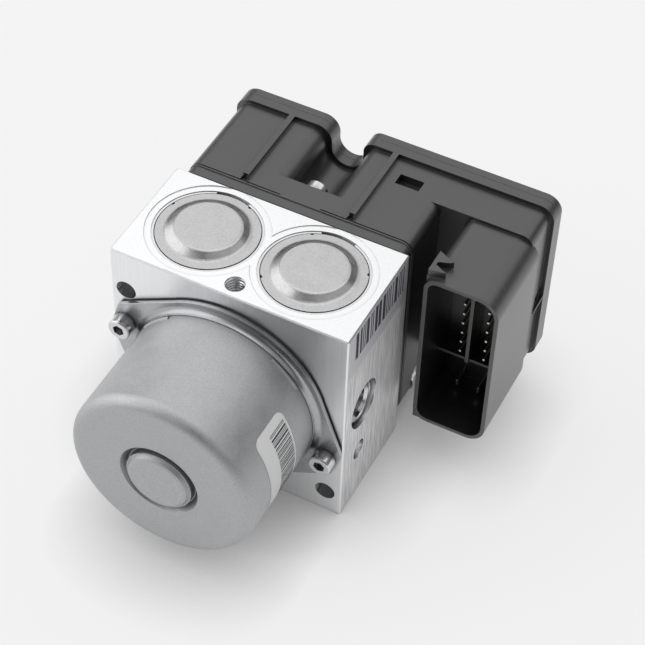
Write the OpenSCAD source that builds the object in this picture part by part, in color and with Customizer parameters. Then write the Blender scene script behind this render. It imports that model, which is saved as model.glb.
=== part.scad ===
// ABS brake module: hydraulic block with pump motor, accumulators, valves and control unit.
// Units are millimetres. The origin is the centre of the block's bottom face.
// +Z is up (accumulator caps on top), the motor points to -Y, the control unit to +Y,
// and the wiring connector sits on the +X side.

/* [Hydraulic block] */
// Width of the block, across both accumulators
block_w = 92; // [91:0.5:98]
// Depth of the block, from the motor face to the valve face
block_d = 46.6; // [46:0.2:52]
// Height of the block
block_h = 92.8; // [92:0.2:98]
// Size of the broken edges of the block
block_edge = 0.5; // [0.3:0.1:0.9]
// Diameter of the threaded mounting hole in the top face
top_thread_d = 7.2; // [6:0.1:8]
// Diameter of the two mounting holes in the motor face
face_hole_d = 7.8; // [6:0.1:8.4]
// Depth of the two mounting holes in the motor face
face_hole_depth = 10; // [7:0.5:11]
// Diameter of the four wheel brake ports in the bottom face
wheel_port_d = 10; // [8:0.5:11]
// Diameter of the two master cylinder ports in the bottom face
master_port_d = 12; // [10:0.5:13]
// Depth of all brake line ports
port_depth = 13; // [10:0.5:15]
// Diameter of the feed hole at the bottom of each port
feed_hole_d = 3; // [2:0.5:4]

/* [Pump motor] */
// Distance of the motor can from the sides of the block
can_inset = 10.2; // [9.8:0.1:11.5]
// Distance from the motor face of the block to the flat end of the can
can_len = 48.3; // [47.5:0.1:54]
// Sheet thickness of the motor can
can_wall = 1.6; // [1.2:0.1:2]
// Radius of the rounded shoulder at the end of the can
can_shoulder = 4.6; // [3.2:0.1:5.4]
// Radius of the flat top of the bearing boss
boss_r = 10.4; // [9.4:0.1:11]
// Sheet thickness of the motor flange
flange_t = 1.3; // [1:0.1:1.8]
// Thickness of the gasket behind the motor flange
gasket_t = 0.7; // [0.5:0.1:1.2]
// Distance of the round part of the motor flange from the sides of the block
flange_inset = 6.2; // [5:0.1:7]
// Distance of each motor screw from the side of the block
motor_screw_inset = 6; // [5.2:0.1:6.6]
// Distance of each motor screw from the motor axis, up or down
motor_screw_z = 14.4; // [13.5:0.1:16]
// Head diameter of the socket head screws
screw_head_d = 8.5; // [7.6:0.1:8.8]
// Thread diameter of the socket head screws
screw_d = 5; // [4:0.5:5.5]
// Radius of the rotor shaft
shaft_r = 4; // [3.5:0.1:4.4]
// Sideways offset of the eccentric that drives the pump pistons
ecc_offset = 1.1; // [0.6:0.1:1.3]
// Outer radius of the ring bearing on the eccentric
ecc_ring_r = 8.6; // [8:0.1:8.8]
// Thickness of the arc magnets in the can
magnet_t = 8.3; // [7:0.1:9]
// Free length between the armature winding and the rear bearing
core_gap = 1.3; // [1:0.1:5]

/* [Pump elements] */
// Distance of the pump elements behind the motor face
pump_inset = 15.4; // [15:0.1:16]
// Length of each pump plug, with its neck
plug_len = 12; // [10:0.5:13]
// Length of the spring behind each pump piston
pump_spring_len = 6; // [5:0.2:7]
// Radius of the pump bore where it opens at the side of the block
pump_bore_r = 9.7; // [9:0.1:10]
// Radius of each pump piston
piston_r = 3.4; // [3:0.1:3.8]
// Outer radius of the sleeve that guides each pump piston
sleeve_r = 6.4; // [5.8:0.1:6.8]

/* [Accumulators] */
// Distance of each accumulator axis from the middle of the block
acc_x = 20.8; // [20.4:0.1:21.6]
// Distance of the accumulator axes behind the middle of the block depth
acc_y = 0.8; // [0:0.1:1]
// Radius of the accumulator bore
acc_bore_r = 17; // [16:0.1:17.2]
// Depth of the accumulator bore below the top face
acc_depth = 25.5; // [23:0.5:26]
// Visible radius of the cap flange
cap_r = 18.55; // [18.2:0.05:18.6]
// Radius of the foot of the cap dome
dome_r = 14.8; // [13:0.1:15.2]
// Radius of the flat top of the cap dome
dome_top_r = 11.4; // [9:0.1:12]
// Height of the dome above the cap flange
dome_h = 2.8; // [1.5:0.1:3.5]

/* [Valves] */
// Radius of each valve body in the block
valve_r = 5.4; // [5:0.1:5.6]
// Distance of the outer valves from the sides of the block
valve_inset = 16; // [15.5:0.1:16.5]
// Distance of the upper row of valves below the accumulator bores
valve_drop = 8.3; // [7.8:0.1:9]
// Height between the two rows of valves
valve_row = 19; // [18.6:0.1:19.4]
// Stroke of each valve plunger
valve_stroke = 0.35; // [0.2:0.05:0.5]
// Free space between neighbouring coils with their yokes
coil_space = 1.4; // [1:0.1:2.6]

/* [Control unit] */
// Wall thickness of the control unit housing
ecu_wall = 2.2; // [1.8:0.1:2.6]
// Distance from the valve face of the block to the front of the wide part
ecu_step = 27.2; // [26.5:0.1:28]
// Distance from the valve face of the block to the front of the outer rim
ecu_rim_y = 42.2; // [41.8:0.1:44]
// Thickness of the housing flange in the outer rim
ecu_flange_t = 3.8; // [3.4:0.1:4.4]
// Thickness of the cover in the outer rim
ecu_lid_t = 3.9; // [3.4:0.1:4.6]
// Overhang of the outer rim around the housing wall
rim_over = 1.7; // [1.3:0.1:2.2]
// Distance of the left side of the housing inside the block's left side
ecu_left_inset = 2.6; // [2:0.1:3]
// Distance of the part of the housing behind the block inside the block's right side
ecu_mid_inset = 0.9; // [0.4:0.1:1.5]
// Width of the housing beside the block, up to its right side
wing_w = 35.7; // [35:0.1:37]
// Height of the bottom of the housing behind the block
ecu_bottom = 6; // [5:0.1:8]
// Height of the bottom of the wide part beside the block
wing_bottom = 19.6; // [19:0.1:20.2]
// Height of the top of the housing above the block
ecu_rise = 0.3; // [0.1:0.1:0.8]
// Radius of the deep notches that give access to the housing screws
notch_r = 6.4; // [6:0.1:6.8]
// Radius of the two notches at the bottom corners
low_notch_r = 5.2; // [5:0.1:5.6]
// Thickness of the circuit board
board_t = 1.6; // [1.2:0.1:2]

/* [Wiring connector] */
// Width of the connector shroud
con_w = 28.3; // [27.5:0.1:29]
// Distance of the shroud's right side outside the side of the housing
con_out = 2.2; // [1.6:0.1:2.8]
// Distance of the shroud's bottom below the wide part of the housing
con_dip = 0.7; // [0.2:0.1:1.2]
// Distance of the shroud's top below the top of the housing
con_drop = 1.3; // [1:0.1:2]
// Distance the shroud opening lies in front of the valve face of the block
con_front = 6.6; // [5:0.1:9]
// Wall thickness of the connector shroud
con_wall = 1.5; // [1.2:0.1:1.8]
// Distance between neighbouring contact pins in a row
pin_pitch = 4.88; // [4.8:0.02:5.2]
// Width of each contact pin
pin_w = 0.9; // [0.6:0.1:1.2]

/* [Hidden] */
$fn = 48;
front_y = -block_d / 2;
rear_y = block_d / 2;
axis_z = block_h / 2;
cable_z = axis_z - 18.4;      // height of the motor cable passage
can_r = block_w / 2 - can_inset;
flange_r = block_w / 2 - flange_inset;
motor_screw_x = block_w / 2 - motor_screw_inset;
channel_at = [front_y + 13, 23.8];      // y and z of the drilled channels in the sides
pump_y = front_y + pump_inset;
face_holes_at = [[5.8 - block_w / 2, block_h - 17.9], [block_w / 2 - 6.5, 10.3]];
core_more = 3;        // how far a core hole runs on behind its thread
slip = 0.05;          // radial clearance of running fits
gap = 0.05;           // clearance of fitted pieces that do not move
plate_s = gasket_t + flange_t;
root_r = 2.2;         // radius of the hollow curve between the flange and the can
rib_r = 0.9;          // radius of the pressed ribs of the can
boss_dip = 2.5;       // depth of the ring pressed in around the bearing boss
ear_r = 3;            // radius of the corners of the flange ears
ear_top = [block_w / 2 - ear_r - 0.1, 3.6 - motor_screw_z];
ear_low = [motor_screw_x, -6 - motor_screw_z];
bearing_r = 11;       // outer radius of the two ball bearings
bearing_w = 7;        // width of the two ball bearings
rear_brg_s = can_len - bearing_w - 0.2;
front_brg_s = -7.6;
core_r = can_r - can_wall - magnet_t - 0.9;
core_s = 15.1;        // distance of the armature core from the motor face
winding_h = 4.7;      // height of the winding heads
core_len = rear_brg_s - core_s - winding_h - core_gap;
chamber_r = ecc_ring_r + ecc_offset + 0.7;
chamber_depth = 23.5;
piston_x0 = ecc_ring_r + ecc_offset + 0.3;
pump_stroke = 2 * ecc_offset;
plug_face_x = block_w / 2 - 1.4;
sleeve_x0 = piston_x0 + pump_stroke + 0.4;
sleeve_x1 = plug_face_x - plug_len;
piston_len = sleeve_x1 - piston_x0 - pump_stroke - 0.4 - pump_spring_len;
cap_lip_r = cap_r + 1.1;
pocket_depth = 2.7;
pocket_floor = block_h - pocket_depth;
cap_face_z = pocket_floor + pocket_depth - 0.45;
ring_z0 = block_h - 1.65;
ring_z1 = block_h - 0.6;
ring_r0 = cap_r + 0.3;
ring_r1 = cap_r + 1.9;
acc_floor = block_h - acc_depth;
acc_piston_h = 10;
spot_r = 22.3;        // radius of the shallow flat cut round each cap
spot_depth = 0.3;
valve_pitch = (block_w / 2 - valve_inset) / 1.5;
coil_r = (min(valve_pitch, valve_row) - coil_space) / 2;
coil_len = 14;
coil_base = 3.6;      // distance of the coils from the valve face
dome_hole_r = 3.6;    // radius of the hole in each coil, around the valve dome
valve_dome_r = dome_hole_r - 0.2;
valve_dome_len = coil_len + 3.5;
valve_rows = [acc_floor - valve_drop - valve_row, acc_floor - valve_drop];
valve_xs = [-1.5 * valve_pitch, -0.5 * valve_pitch, 0.5 * valve_pitch, 1.5 * valve_pitch];
ecu_left = ecu_left_inset - block_w / 2;
ecu_mid = block_w / 2 - ecu_mid_inset;
ecu_right = ecu_mid + wing_w;
ecu_top = block_h + ecu_rise;
base_y = rear_y + gap;
rim_y = rear_y + ecu_rim_y;
lid_y = rim_y + ecu_flange_t;
back_y = lid_y + gap + ecu_lid_t;
step_y = rear_y + ecu_step;
notch_y = rear_y + 13.8;
base_t = 4.7;         // thickness of the base flange of the housing
groove_gap = [-7, 8.8];
rib_xs = [ecu_left + 20.3, ecu_mid - 26];
rib_w = 2.3;
gusset_foot = [rim_y - 4.7, 46.8];      // y and z of the low end of the side gusset
gusset_rise = 5.8;
window_at = [ecu_mid - 19.3, rear_y + 29.7];
window_size = [9.3, 5.1];
// Each housing screw: x, z of its notch, which way the notch opens, its radius, z of the screw
ecu_screws_at = [[0.9, ecu_top - 6.6, 1, notch_r, ecu_top - 5.5],
    [ecu_mid - 4.1, ecu_bottom + 4.6, -1, low_notch_r, ecu_bottom + 4.6],
    [ecu_left + 4.2, ecu_bottom + 4.6, -1, low_notch_r, ecu_bottom + 4.6]];
board_y = lid_y - 8;
con_x1 = ecu_right + con_out;
con_x0 = con_x1 - con_w;
con_z0 = wing_bottom - con_dip;
con_z1 = ecu_top - con_drop;
con_y = rear_y - con_front;
con_floor_y = step_y - 7.5;
pin_rows_at = [9.5, 18.9];      // distances of the rows of small pins from the shroud's left side
pin_xs = [con_x0 + pin_rows_at[0], con_x0 + pin_rows_at[1]];
pin_drop = 48.8;        // distance of the lowest small pins below the top of the shroud
pin_z0 = con_z1 - pin_drop;

// Helper shapes

// A cylinder along Y, from y0 to y1
module rod_y(x, z, r, y0, y1) {
    translate([x, y1, z])
        rotate([90, 0, 0])
            cylinder(r = r, h = y1 - y0);
}

// A cylinder along X, from x0 to x1
module rod_x(y, z, r, x0, x1) {
    translate([x0, y, z])
        rotate([0, 90, 0])
            cylinder(r = r, h = x1 - x0);
}

// Extrudes a front view (x across, y up) from y0 to y1
module front_view(y0, y1) {
    translate([0, y1, 0])
        rotate([90, 0, 0])
            linear_extrude(y1 - y0)
                children();
}

// Extrudes a side view (y across, z up) from x0 to x1
module side_view(x0, x1) {
    translate([x0, 0, 0])
        rotate([90, 0, 90])
            linear_extrude(x1 - x0)
                children();
}

// Rectangle with its own radius in each corner: bottom left, bottom right, top right, top left
module round_rect(x0, z0, x1, z1, r) {
    difference() {
        translate([x0, z0])
            square([x1 - x0, z1 - z0]);
        corner_cut(x0, z0, 1, 1, r[0]);
        corner_cut(x1, z0, -1, 1, r[1]);
        corner_cut(x1, z1, -1, -1, r[2]);
        corner_cut(x0, z1, 1, -1, r[3]);
    }
}

// The sliver outside a rounded corner at (x, z); sx and sz point into the shape
module corner_cut(x, z, sx, sz, r) {
    translate([x, z])
        scale([sx, sz])
            difference() {
                translate([-1, -1])
                    square([r + 1, r + 1]);
                translate([r, r])
                    circle(r);
            }
}

// Box with broken edges, standing on z = 0 and centred in x and y
module edged_box(w, d, h, c) {
    intersection() {
        linear_extrude(h)
            edged_square(-w / 2, -d / 2, w / 2, d / 2, c);
        translate([0, d / 2, 0])
            rotate([90, 0, 0])
                linear_extrude(d)
                    edged_square(-w / 2, 0, w / 2, h, c);
        translate([-w / 2, 0, 0])
            rotate([90, 0, 90])
                linear_extrude(w)
                    edged_square(-d / 2, 0, d / 2, h, c);
    }
}

module edged_square(x0, y0, x1, y1, c) {
    polygon([[x0 + c, y0], [x1 - c, y0], [x1, y0 + c], [x1, y1 - c],
        [x1 - c, y1], [x0 + c, y1], [x0, y1 - c], [x0, y0 + c]]);
}

// Puts its children on the motor axis: their Z points out of the motor face
module on_motor_axis() {
    translate([0, front_y, axis_z])
        rotate([90, 0, 0])
            children();
}

// Puts a copy of its children on each accumulator axis
module at_accumulators() {
    for (side = [-1, 1])
        translate([side * acc_x, acc_y, 0])
            children();
}

// Coil spring along Z, swept as a many-sided wire; its ends are cut square
module coil_spring(r, wire, turns, length) {
    steps = 20 * turns;
    sides = 10;
    rise = (length - 2 * wire) / steps;
    points = [for (i = [0 : steps], j = [0 : sides - 1])
        let (a = 18 * i, b = 36 * j, d = r + wire * cos(b))
        [d * cos(a), d * sin(a), wire + i * rise + wire * sin(b)]];
    walls = [for (i = [0 : steps - 1], j = [0 : sides - 1])
        let (k = (j + 1) % sides)
        [i * sides + j, i * sides + k, (i + 1) * sides + k, (i + 1) * sides + j]];
    ends = [[for (j = [sides - 1 : -1 : 0]) j], [for (j = [0 : sides - 1]) steps * sides + j]];
    polyhedron(points, concat(walls, ends));
}

// Flat ring
module ring(r_out, r_in, h) {
    difference() {
        cylinder(r = r_out, h = h);
        translate([0, 0, -1])
            cylinder(r = r_in, h = h + 2);
    }
}

// Hydraulic block

module hydraulic_block() {
    color([0.86, 0.87, 0.89])
        difference() {
            edged_box(block_w, block_d, block_h, block_edge);
            block_motor_side();
            block_pump_bores();
            block_accumulator_bores();
            block_top_and_bottom_holes();
            block_valve_side();
        }
}

// Bearing seat, pump chamber, motor screw holes, mounting holes and cable passage
module block_motor_side() {
    on_motor_axis()
        translate([0, 0, -8.4])
            cylinder(r = bearing_r + gap, h = 12);
    on_motor_axis()
        translate([0, 0, -chamber_depth])
            cylinder(r = chamber_r, h = 20);
    for (s = [-1, 1])
        rod_y(s * motor_screw_x, axis_z - s * motor_screw_z, screw_d / 2 + gap, front_y - 1, front_y + 11.2);
    for (at = face_holes_at) {
        rod_y(at[0], at[1], face_hole_d / 2, front_y - 1, front_y + face_hole_depth);
        rod_y(at[0], at[1], face_hole_d / 2 - 0.6, front_y - 1, front_y + face_hole_depth + core_more);
    }
    rod_y(0, cable_z, 3.5, front_y - 1, rear_y + 1);
}

// Stepped bores for the two pump elements and the drilled channels beside them
module block_pump_bores() {
    for (side = [0, 1])
        mirror([side, 0, 0]) {
            rod_x(pump_y, axis_z, piston_r + 1.4, 4, sleeve_x0);
            rod_x(pump_y, axis_z, sleeve_r + gap, sleeve_x0 - gap, sleeve_x1 + 4);
            rod_x(pump_y, axis_z, pump_bore_r, sleeve_x1 + 0.4, block_w / 2 + 1);
            rod_x(channel_at[0], channel_at[1], 4, block_w / 2 - 9, block_w / 2 + 1);
            rod_x(channel_at[0], channel_at[1], 2, block_w / 2 - 24, block_w / 2);
        }
}

// Accumulator bores with the pockets and snap ring grooves of their caps
module block_accumulator_bores() {
    at_accumulators() {
        translate([0, 0, acc_floor])
            cylinder(r = acc_bore_r, h = acc_depth + 1);
        translate([0, 0, pocket_floor])
            cylinder(r = cap_lip_r + 0.15, h = pocket_depth + 1);
        translate([0, 0, ring_z0 - 0.05])
            cylinder(r = ring_r1 + 0.1, h = ring_z1 - ring_z0 + 0.1);
        translate([0, 0, block_h - spot_depth])
            cylinder(r = spot_r, h = 1);
    }
}

module block_top_and_bottom_holes() {
    translate([0, front_y + 5.8, block_h - 14])
        cylinder(r = top_thread_d / 2, h = 15);
    translate([0, front_y + 5.8, block_h - 14 - core_more])
        cylinder(r = top_thread_d / 2 - 0.6, h = 15);
    for (x = [-33, -11, 11, 33])
        line_port(x, 9, wheel_port_d);
    for (x = [-14, 14])
        line_port(x, -9, master_port_d);
}

// Threaded port for a brake line, with the feed hole behind its seat
module line_port(x, y, d) {
    translate([x, y, -1]) {
        cylinder(r = d / 2, h = port_depth + 1);
        cylinder(r = feed_hole_d / 2, h = port_depth + 8);
    }
}

// Valve bores and the threaded holes of the control unit screws
module block_valve_side() {
    for (x = valve_xs, z = valve_rows)
        rod_y(x, z, valve_r + gap, rear_y - 16, rear_y + 1);
    for (p = ecu_screws_at)
        rod_y(p[0], p[4], screw_d / 2 + gap, rear_y - 11, rear_y + 1);
}

// Steel balls that close the drilled channels
module channel_plugs() {
    color([0.8, 0.8, 0.82])
        for (s = [-1, 1])
            translate([s * (block_w / 2 - 5), channel_at[0], channel_at[1]])
                sphere(r = 4 - gap, $fn = 32);
}

// Motor housing

// Outer tangent line of two circles, on the left when going from a to b
function tangent(a, ra, b, rb) =
    let (t = atan2(b[1] - a[1], b[0] - a[0]), k = acos((ra - rb) / norm(b - a)))
    [a + ra * [cos(t + k), sin(t + k)], b + rb * [cos(t + k), sin(t + k)]];

// Solid flange or gasket: a disc with two rounded ears, drawn smaller by inset
module flange_body(thick, inset) {
    r = flange_r - inset;
    c = ear_r - inset;
    cylinder(r = r, h = thick);
    for (turn = [0, 180])
        rotate([0, 0, turn]) {
            linear_extrude(thick)
                polygon(concat(tangent([0, 0], r - 0.05, ear_top, c - 0.05),
                    tangent(ear_top, c - 0.05, ear_low, c - 0.05),
                    tangent(ear_low, c - 0.05, [0, 0], r - 0.05), [[0, 0]]));
            for (at = [ear_top, ear_low])
                translate([at[0], at[1], 0])
                    cylinder(r = c, h = thick);
        }
}

// Plate with the flange outline, a middle hole, two screw holes and the cable hole
module flange_plate(thick, inset, middle) {
    difference() {
        flange_body(thick, inset);
        translate([0, 0, -1]) {
            cylinder(r = middle, h = thick + 2);
            translate([0, cable_z - axis_z, 0])
                cylinder(r = 3.7, h = thick + 2);
            for (s = [-1, 1])
                translate([s * motor_screw_x, -s * motor_screw_z, 0])
                    cylinder(r = screw_d / 2 + 0.3, h = thick + 2);
        }
    }
}

module motor_gasket() {
    color([0.24, 0.28, 0.27])
        on_motor_axis()
            flange_plate(gasket_t, 0.7, bearing_r + 1.5);
}

// Stamped plate that carries the can, with a hollow curve up to it
module motor_flange() {
    color([0.6, 0.61, 0.63])
        on_motor_axis() {
            translate([0, 0, gasket_t])
                flange_plate(flange_t, 0, bearing_r + gap);
            translate([0, 0, plate_s - 0.2])
                rotate_extrude($fn = 96)
                    difference() {
                        translate([can_r + gap, 0])
                            square([root_r + 0.3, root_r + 0.2]);
                        translate([can_r + gap + 0.3 + root_r, root_r + 0.2])
                            circle(root_r);
                    }
        }
}

// Drawn can with a rounded shoulder, bearing boss and four pressed ribs at its root
module motor_can() {
    color([0.66, 0.67, 0.69])
        on_motor_axis() {
            rotate_extrude($fn = 96)
                difference() {
                    can_outside();
                    can_inside();
                }
            for (a = [34, 124, 214, 304])
                rotate([0, 0, a])
                    can_rib(22);
        }
}

// Low rib along the root of the can, over the given angle
module can_rib(angle) {
    rotate_extrude(angle = angle)
        translate([can_r - 0.3, plate_s + root_r + 1])
            circle(rib_r, $fn = 24);
}

module can_outside() {
    difference() {
        translate([0, plate_s])
            square([can_r, can_len - plate_s]);
        corner_cut(can_r, can_len, -1, -1, can_shoulder);
        polygon([[boss_r + 4.8, can_len + 1], [boss_r + 4.8, can_len], [boss_r + 3.7, can_len - 1.5],
            [boss_r + 2.9, can_len - boss_dip], [boss_r + 2.2, can_len - boss_dip], [boss_r + 2.2, can_len + 1]]);
    }
    polygon([[0, can_len - 3], [boss_r + 2.4, can_len - boss_dip - 0.2], [boss_r + 2, can_len - 0.4],
        [boss_r + 0.9, can_len + 1.2], [boss_r, can_len + 1.6], [0, can_len + 1.6]]);
}

module can_inside() {
    difference() {
        translate([0, plate_s - 1])
            square([can_r - can_wall, can_len - can_wall - plate_s + 1]);
        corner_cut(can_r - can_wall, can_len - can_wall, -1, -1, can_shoulder - can_wall);
        translate([bearing_r + gap, can_len - 5.5])
            square([1.6, 6]);
        polygon([[bearing_r + 1, can_len], [bearing_r + 1, can_len - boss_dip - can_wall],
            [boss_r + 4.6, can_len - boss_dip - can_wall], [boss_r + 6.8, can_len - can_wall],
            [boss_r + 6.8, can_len]]);
    }
    translate([0, can_len - 6])
        square([bearing_r + gap, 5.9]);
}

module socket_screw(shank) {
    difference() {
        union() {
            translate([0, 0, -shank])
                cylinder(r = screw_d / 2, h = shank + 1);
            cylinder(r = screw_head_d / 2, h = screw_d - 0.4);
            translate([0, 0, screw_d - 0.4])
                cylinder(r1 = screw_head_d / 2, r2 = screw_head_d / 2 - 0.4, h = 0.4);
        }
        translate([0, 0, screw_d - 2.6])
            cylinder(r = screw_d * 0.46, h = 4, $fn = 6);
    }
}

module motor_screws() {
    color([0.85, 0.85, 0.87])
        for (s = [-1, 1])
            translate([s * motor_screw_x, front_y - plate_s - gap, axis_z - s * motor_screw_z])
                rotate([90, 0, 0])
                    rotate([0, 0, 18 * s])
                        socket_screw(plate_s + 9.6);
}

module motor_magnets() {
    color([0.2, 0.2, 0.21])
        on_motor_axis()
            for (a = [20, 110, 200, 290])
                rotate([0, 0, a])
                    translate([0, 0, core_s - 3.1])
                        rotate_extrude(angle = 70)
                            translate([core_r + 0.8, 0])
                                square([magnet_t, core_len + 6]);
}

// Rotor

// Shaft with the eccentric at its pump end
module rotor_shaft() {
    color([0.78, 0.78, 0.8])
        on_motor_axis() {
            translate([0, 0, -9])
                cylinder(r = shaft_r, h = can_len + 8.6);
            translate([ecc_offset, 0, -pump_inset - 6.4])
                cylinder(r = shaft_r + 1.9, h = 12.8);
            translate([0, 0, -9.2])
                cylinder(r = shaft_r + 1.2, h = 1.2);
        }
}

module eccentric_bearing() {
    color([0.72, 0.72, 0.75])
        on_motor_axis()
            translate([ecc_offset, 0, -pump_inset - 5.4])
                ring(ecc_ring_r, shaft_r + 1.9 + slip, 10.8);
}

module armature_core() {
    color([0.45, 0.46, 0.48])
        on_motor_axis()
            translate([0, 0, core_s - 0.1])
                linear_extrude(core_len)
                    difference() {
                        circle(core_r);
                        circle(shaft_r + 0.02);
                        for (a = [0 : 45 : 315])
                            rotate(a + 22.5)
                                core_slot(0);
                    }
}

// One winding slot of the core; grow makes it smaller for the wire bundle
module core_slot(grow) {
    translate([11 + grow, -3.2 + grow])
        square([core_r - 14 - 2 * grow, 6.4 - 2 * grow]);
    translate([core_r - 4, -1.2 + grow])
        square([grow == 0 ? 5 : 2.5, 2.4 - 2 * grow]);
}

module armature_winding() {
    color([0.72, 0.42, 0.2])
        on_motor_axis() {
            for (s = [core_s - 0.2 - winding_h, core_s + core_len])
                translate([0, 0, s])
                    ring(core_r - 3.5, 10.2, winding_h);
            translate([0, 0, core_s - 0.6])
                linear_extrude(core_len + 1)
                    for (a = [0 : 45 : 315])
                        rotate(a + 22.5)
                            core_slot(0.25);
        }
}

module commutator() {
    color([0.75, 0.47, 0.28])
        on_motor_axis()
            translate([0, 0, 4])
                linear_extrude(6)
                    difference() {
                        circle(9);
                        circle(shaft_r + 0.02);
                        for (a = [0 : 45 : 315])
                            rotate(a)
                                translate([7.6, -0.3])
                                    square([2, 0.6]);
                    }
}

// Puts its children at the inner face of each ball bearing
module at_bearings() {
    on_motor_axis()
        for (s = [front_brg_s, rear_brg_s])
            translate([0, 0, s])
                children();
}

module race_cut() {
    rotate_extrude()
        translate([(bearing_r + shaft_r) / 2, bearing_w / 2])
            circle(1.7, $fn = 24);
}

module bearing_inner_rings() {
    color([0.8, 0.8, 0.82])
        at_bearings()
            difference() {
                ring(shaft_r + 2.2, shaft_r + 0.02, bearing_w);
                race_cut();
            }
}

module bearing_outer_rings() {
    color([0.8, 0.8, 0.82])
        at_bearings()
            difference() {
                ring(bearing_r, bearing_r - 2.2, bearing_w);
                race_cut();
            }
}

module bearing_balls() {
    color([0.9, 0.9, 0.92])
        at_bearings()
            for (a = [0 : 60 : 300])
                rotate([0, 0, a])
                    translate([(bearing_r + shaft_r) / 2, 0, bearing_w / 2])
                        sphere(r = 1.6, $fn = 20);
}

module brush_holder() {
    color([0.16, 0.16, 0.17])
        on_motor_axis()
            difference() {
                union() {
                    translate([0, 0, plate_s + gap])
                        ring(can_r - can_wall - 0.3, bearing_r + 0.6, 1.5);
                    for (a = [0, 180])
                        rotate([0, 0, a + 30])
                            translate([11, -4, plate_s + 1])
                                cube([12, 8, 7]);
                }
                for (a = [0, 180])
                    rotate([0, 0, a + 30])
                        translate([8, -2.6, plate_s + 1.8])
                            cube([14, 5.2, 5]);
                translate([0, cable_z - axis_z, 0])
                    cylinder(r = 3.2, h = 6);
            }
}

module brushes() {
    color([0.13, 0.13, 0.13])
        on_motor_axis()
            for (a = [0, 180])
                rotate([0, 0, a + 30])
                    translate([9.35, -2.5, plate_s + 2])
                        cube([8.4, 5, 4.5]);
}

module brush_springs() {
    color([0.6, 0.6, 0.62])
        on_motor_axis()
            for (a = [0, 180])
                rotate([0, 0, a + 30])
                    translate([17.8, 0, plate_s + 4.2])
                        rotate([0, 90, 0])
                            coil_spring(1.6, 0.3, 4, 4.1);
}

// Contact bars that carry the motor current through the block to the circuit board
module motor_terminals() {
    color([0.75, 0.62, 0.4])
        for (x = [-1.4, 1.4])
            translate([x - 0.5, front_y - 3, cable_z - 1.8])
                cube([1, board_y - front_y + 2.8, 3.6]);
}

// Pump elements

// Right-hand piece, or its mirror image on the left
module pump_side(side) {
    mirror([side, 0, 0])
        children();
}

module pump_piston(side) {
    color([0.82, 0.82, 0.84])
        pump_side(side) {
            rod_x(pump_y, axis_z, piston_r, piston_x0 + 0.5, piston_x0 + piston_len);
            rod_x(pump_y, axis_z, piston_r - 0.4, piston_x0, piston_x0 + 0.6);
        }
}

module pump_sleeves() {
    color([0.7, 0.7, 0.72])
        for (side = [0, 1])
            pump_side(side)
                difference() {
                    rod_x(pump_y, axis_z, sleeve_r, sleeve_x0, sleeve_x1);
                    rod_x(pump_y, axis_z, piston_r + slip, sleeve_x0 - 1, sleeve_x1 + 1);
                }
}

module pump_springs() {
    color([0.6, 0.6, 0.62])
        for (side = [0, 1])
            pump_side(side)
                translate([piston_x0 + piston_len + pump_stroke + 0.3, pump_y, axis_z])
                    rotate([0, 90, 0])
                        coil_spring(piston_r - 0.6, 0.45, 3, pump_spring_len);
}

module pump_plugs() {
    color([0.82, 0.82, 0.85])
        for (side = [0, 1])
            pump_side(side)
                difference() {
                    union() {
                        rod_x(pump_y, axis_z, sleeve_r - 0.4, sleeve_x1 + 0.1, sleeve_x1 + 1.4);
                        rod_x(pump_y, axis_z, pump_bore_r - gap, sleeve_x1 + 1, plug_face_x - 1.5);
                        translate([plug_face_x - 1.5, pump_y, axis_z])
                            rotate([0, 90, 0])
                                cylinder(r1 = pump_bore_r - gap, r2 = pump_bore_r - 2, h = 1.5);
                    }
                    rod_x(pump_y, axis_z, 5, plug_face_x - 3, plug_face_x + 1);
                    translate([plug_face_x - 1, pump_y, axis_z])
                        rotate([0, 90, 0])
                            cylinder(r1 = 5, r2 = 6, h = 1.1);
                }
}

// Accumulators

module accumulator_caps() {
    color([0.78, 0.79, 0.8]) {
        translate([acc_x, acc_y, 0])
            accumulator_cap([25, 120, 215]);
        translate([-acc_x, acc_y, 0])
            accumulator_cap([67, 161]);
    }
}

// Stamped cap with a dome; notches lists the angles of the nicks in its edge
module accumulator_cap(notches) {
    difference() {
        rotate_extrude($fn = 96)
            difference() {
                union() {
                    translate([0, pocket_floor + 0.05])
                        square([cap_lip_r, 0.9]);
                    translate([0, pocket_floor + 0.05])
                        square([cap_r, pocket_depth - 0.5]);
                    translate([0, cap_face_z])
                        cap_dome(dome_r + 1.1, dome_top_r, dome_h - 0.4, 2, 2.3);
                }
                translate([0, pocket_floor])
                    cap_dome(dome_r - 1.2, dome_top_r - 0.6, dome_h + 0.9, 1.2, 1.2);
            }
        for (a = notches)
            rotate([0, 0, a])
                translate([cap_r + 0.15, 0, pocket_floor + 1])
                    cylinder(r = 0.75, h = 3, $fn = 24);
    }
}

// Half section of a dome of height h: shoulder of radius r, slope, and a hollow curve c at the foot
module cap_dome(foot, top, h, r, c) {
    reach = norm([foot - top, c + r - h]);
    turn = atan2(c + r - h, foot - top) + acos((r + c) / reach);
    n = [cos(turn), sin(turn)];
    on_top = [top, h - r] + (r - 0.02) * n;
    on_foot = [foot, c] - (c + 0.02) * n;
    difference() {
        polygon([[0, -0.5], [foot, -0.5], [foot, 0], on_foot, on_top, [top, h], [0, h]]);
        translate([foot, c])
            circle(c, $fn = 32);
    }
    intersection() {
        translate([top, h - r])
            circle(r, $fn = 32);
        translate([0, -0.5])
            square([foot, h + 1]);
    }
}

// Open rings that hold the caps down
module snap_rings() {
    color([0.82, 0.82, 0.84])
        at_accumulators()
            translate([0, 0, ring_z0])
                rotate([0, 0, 110])
                    rotate_extrude(angle = 321)
                        translate([ring_r0, 0])
                            square([ring_r1 - ring_r0, ring_z1 - ring_z0]);
}

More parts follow.
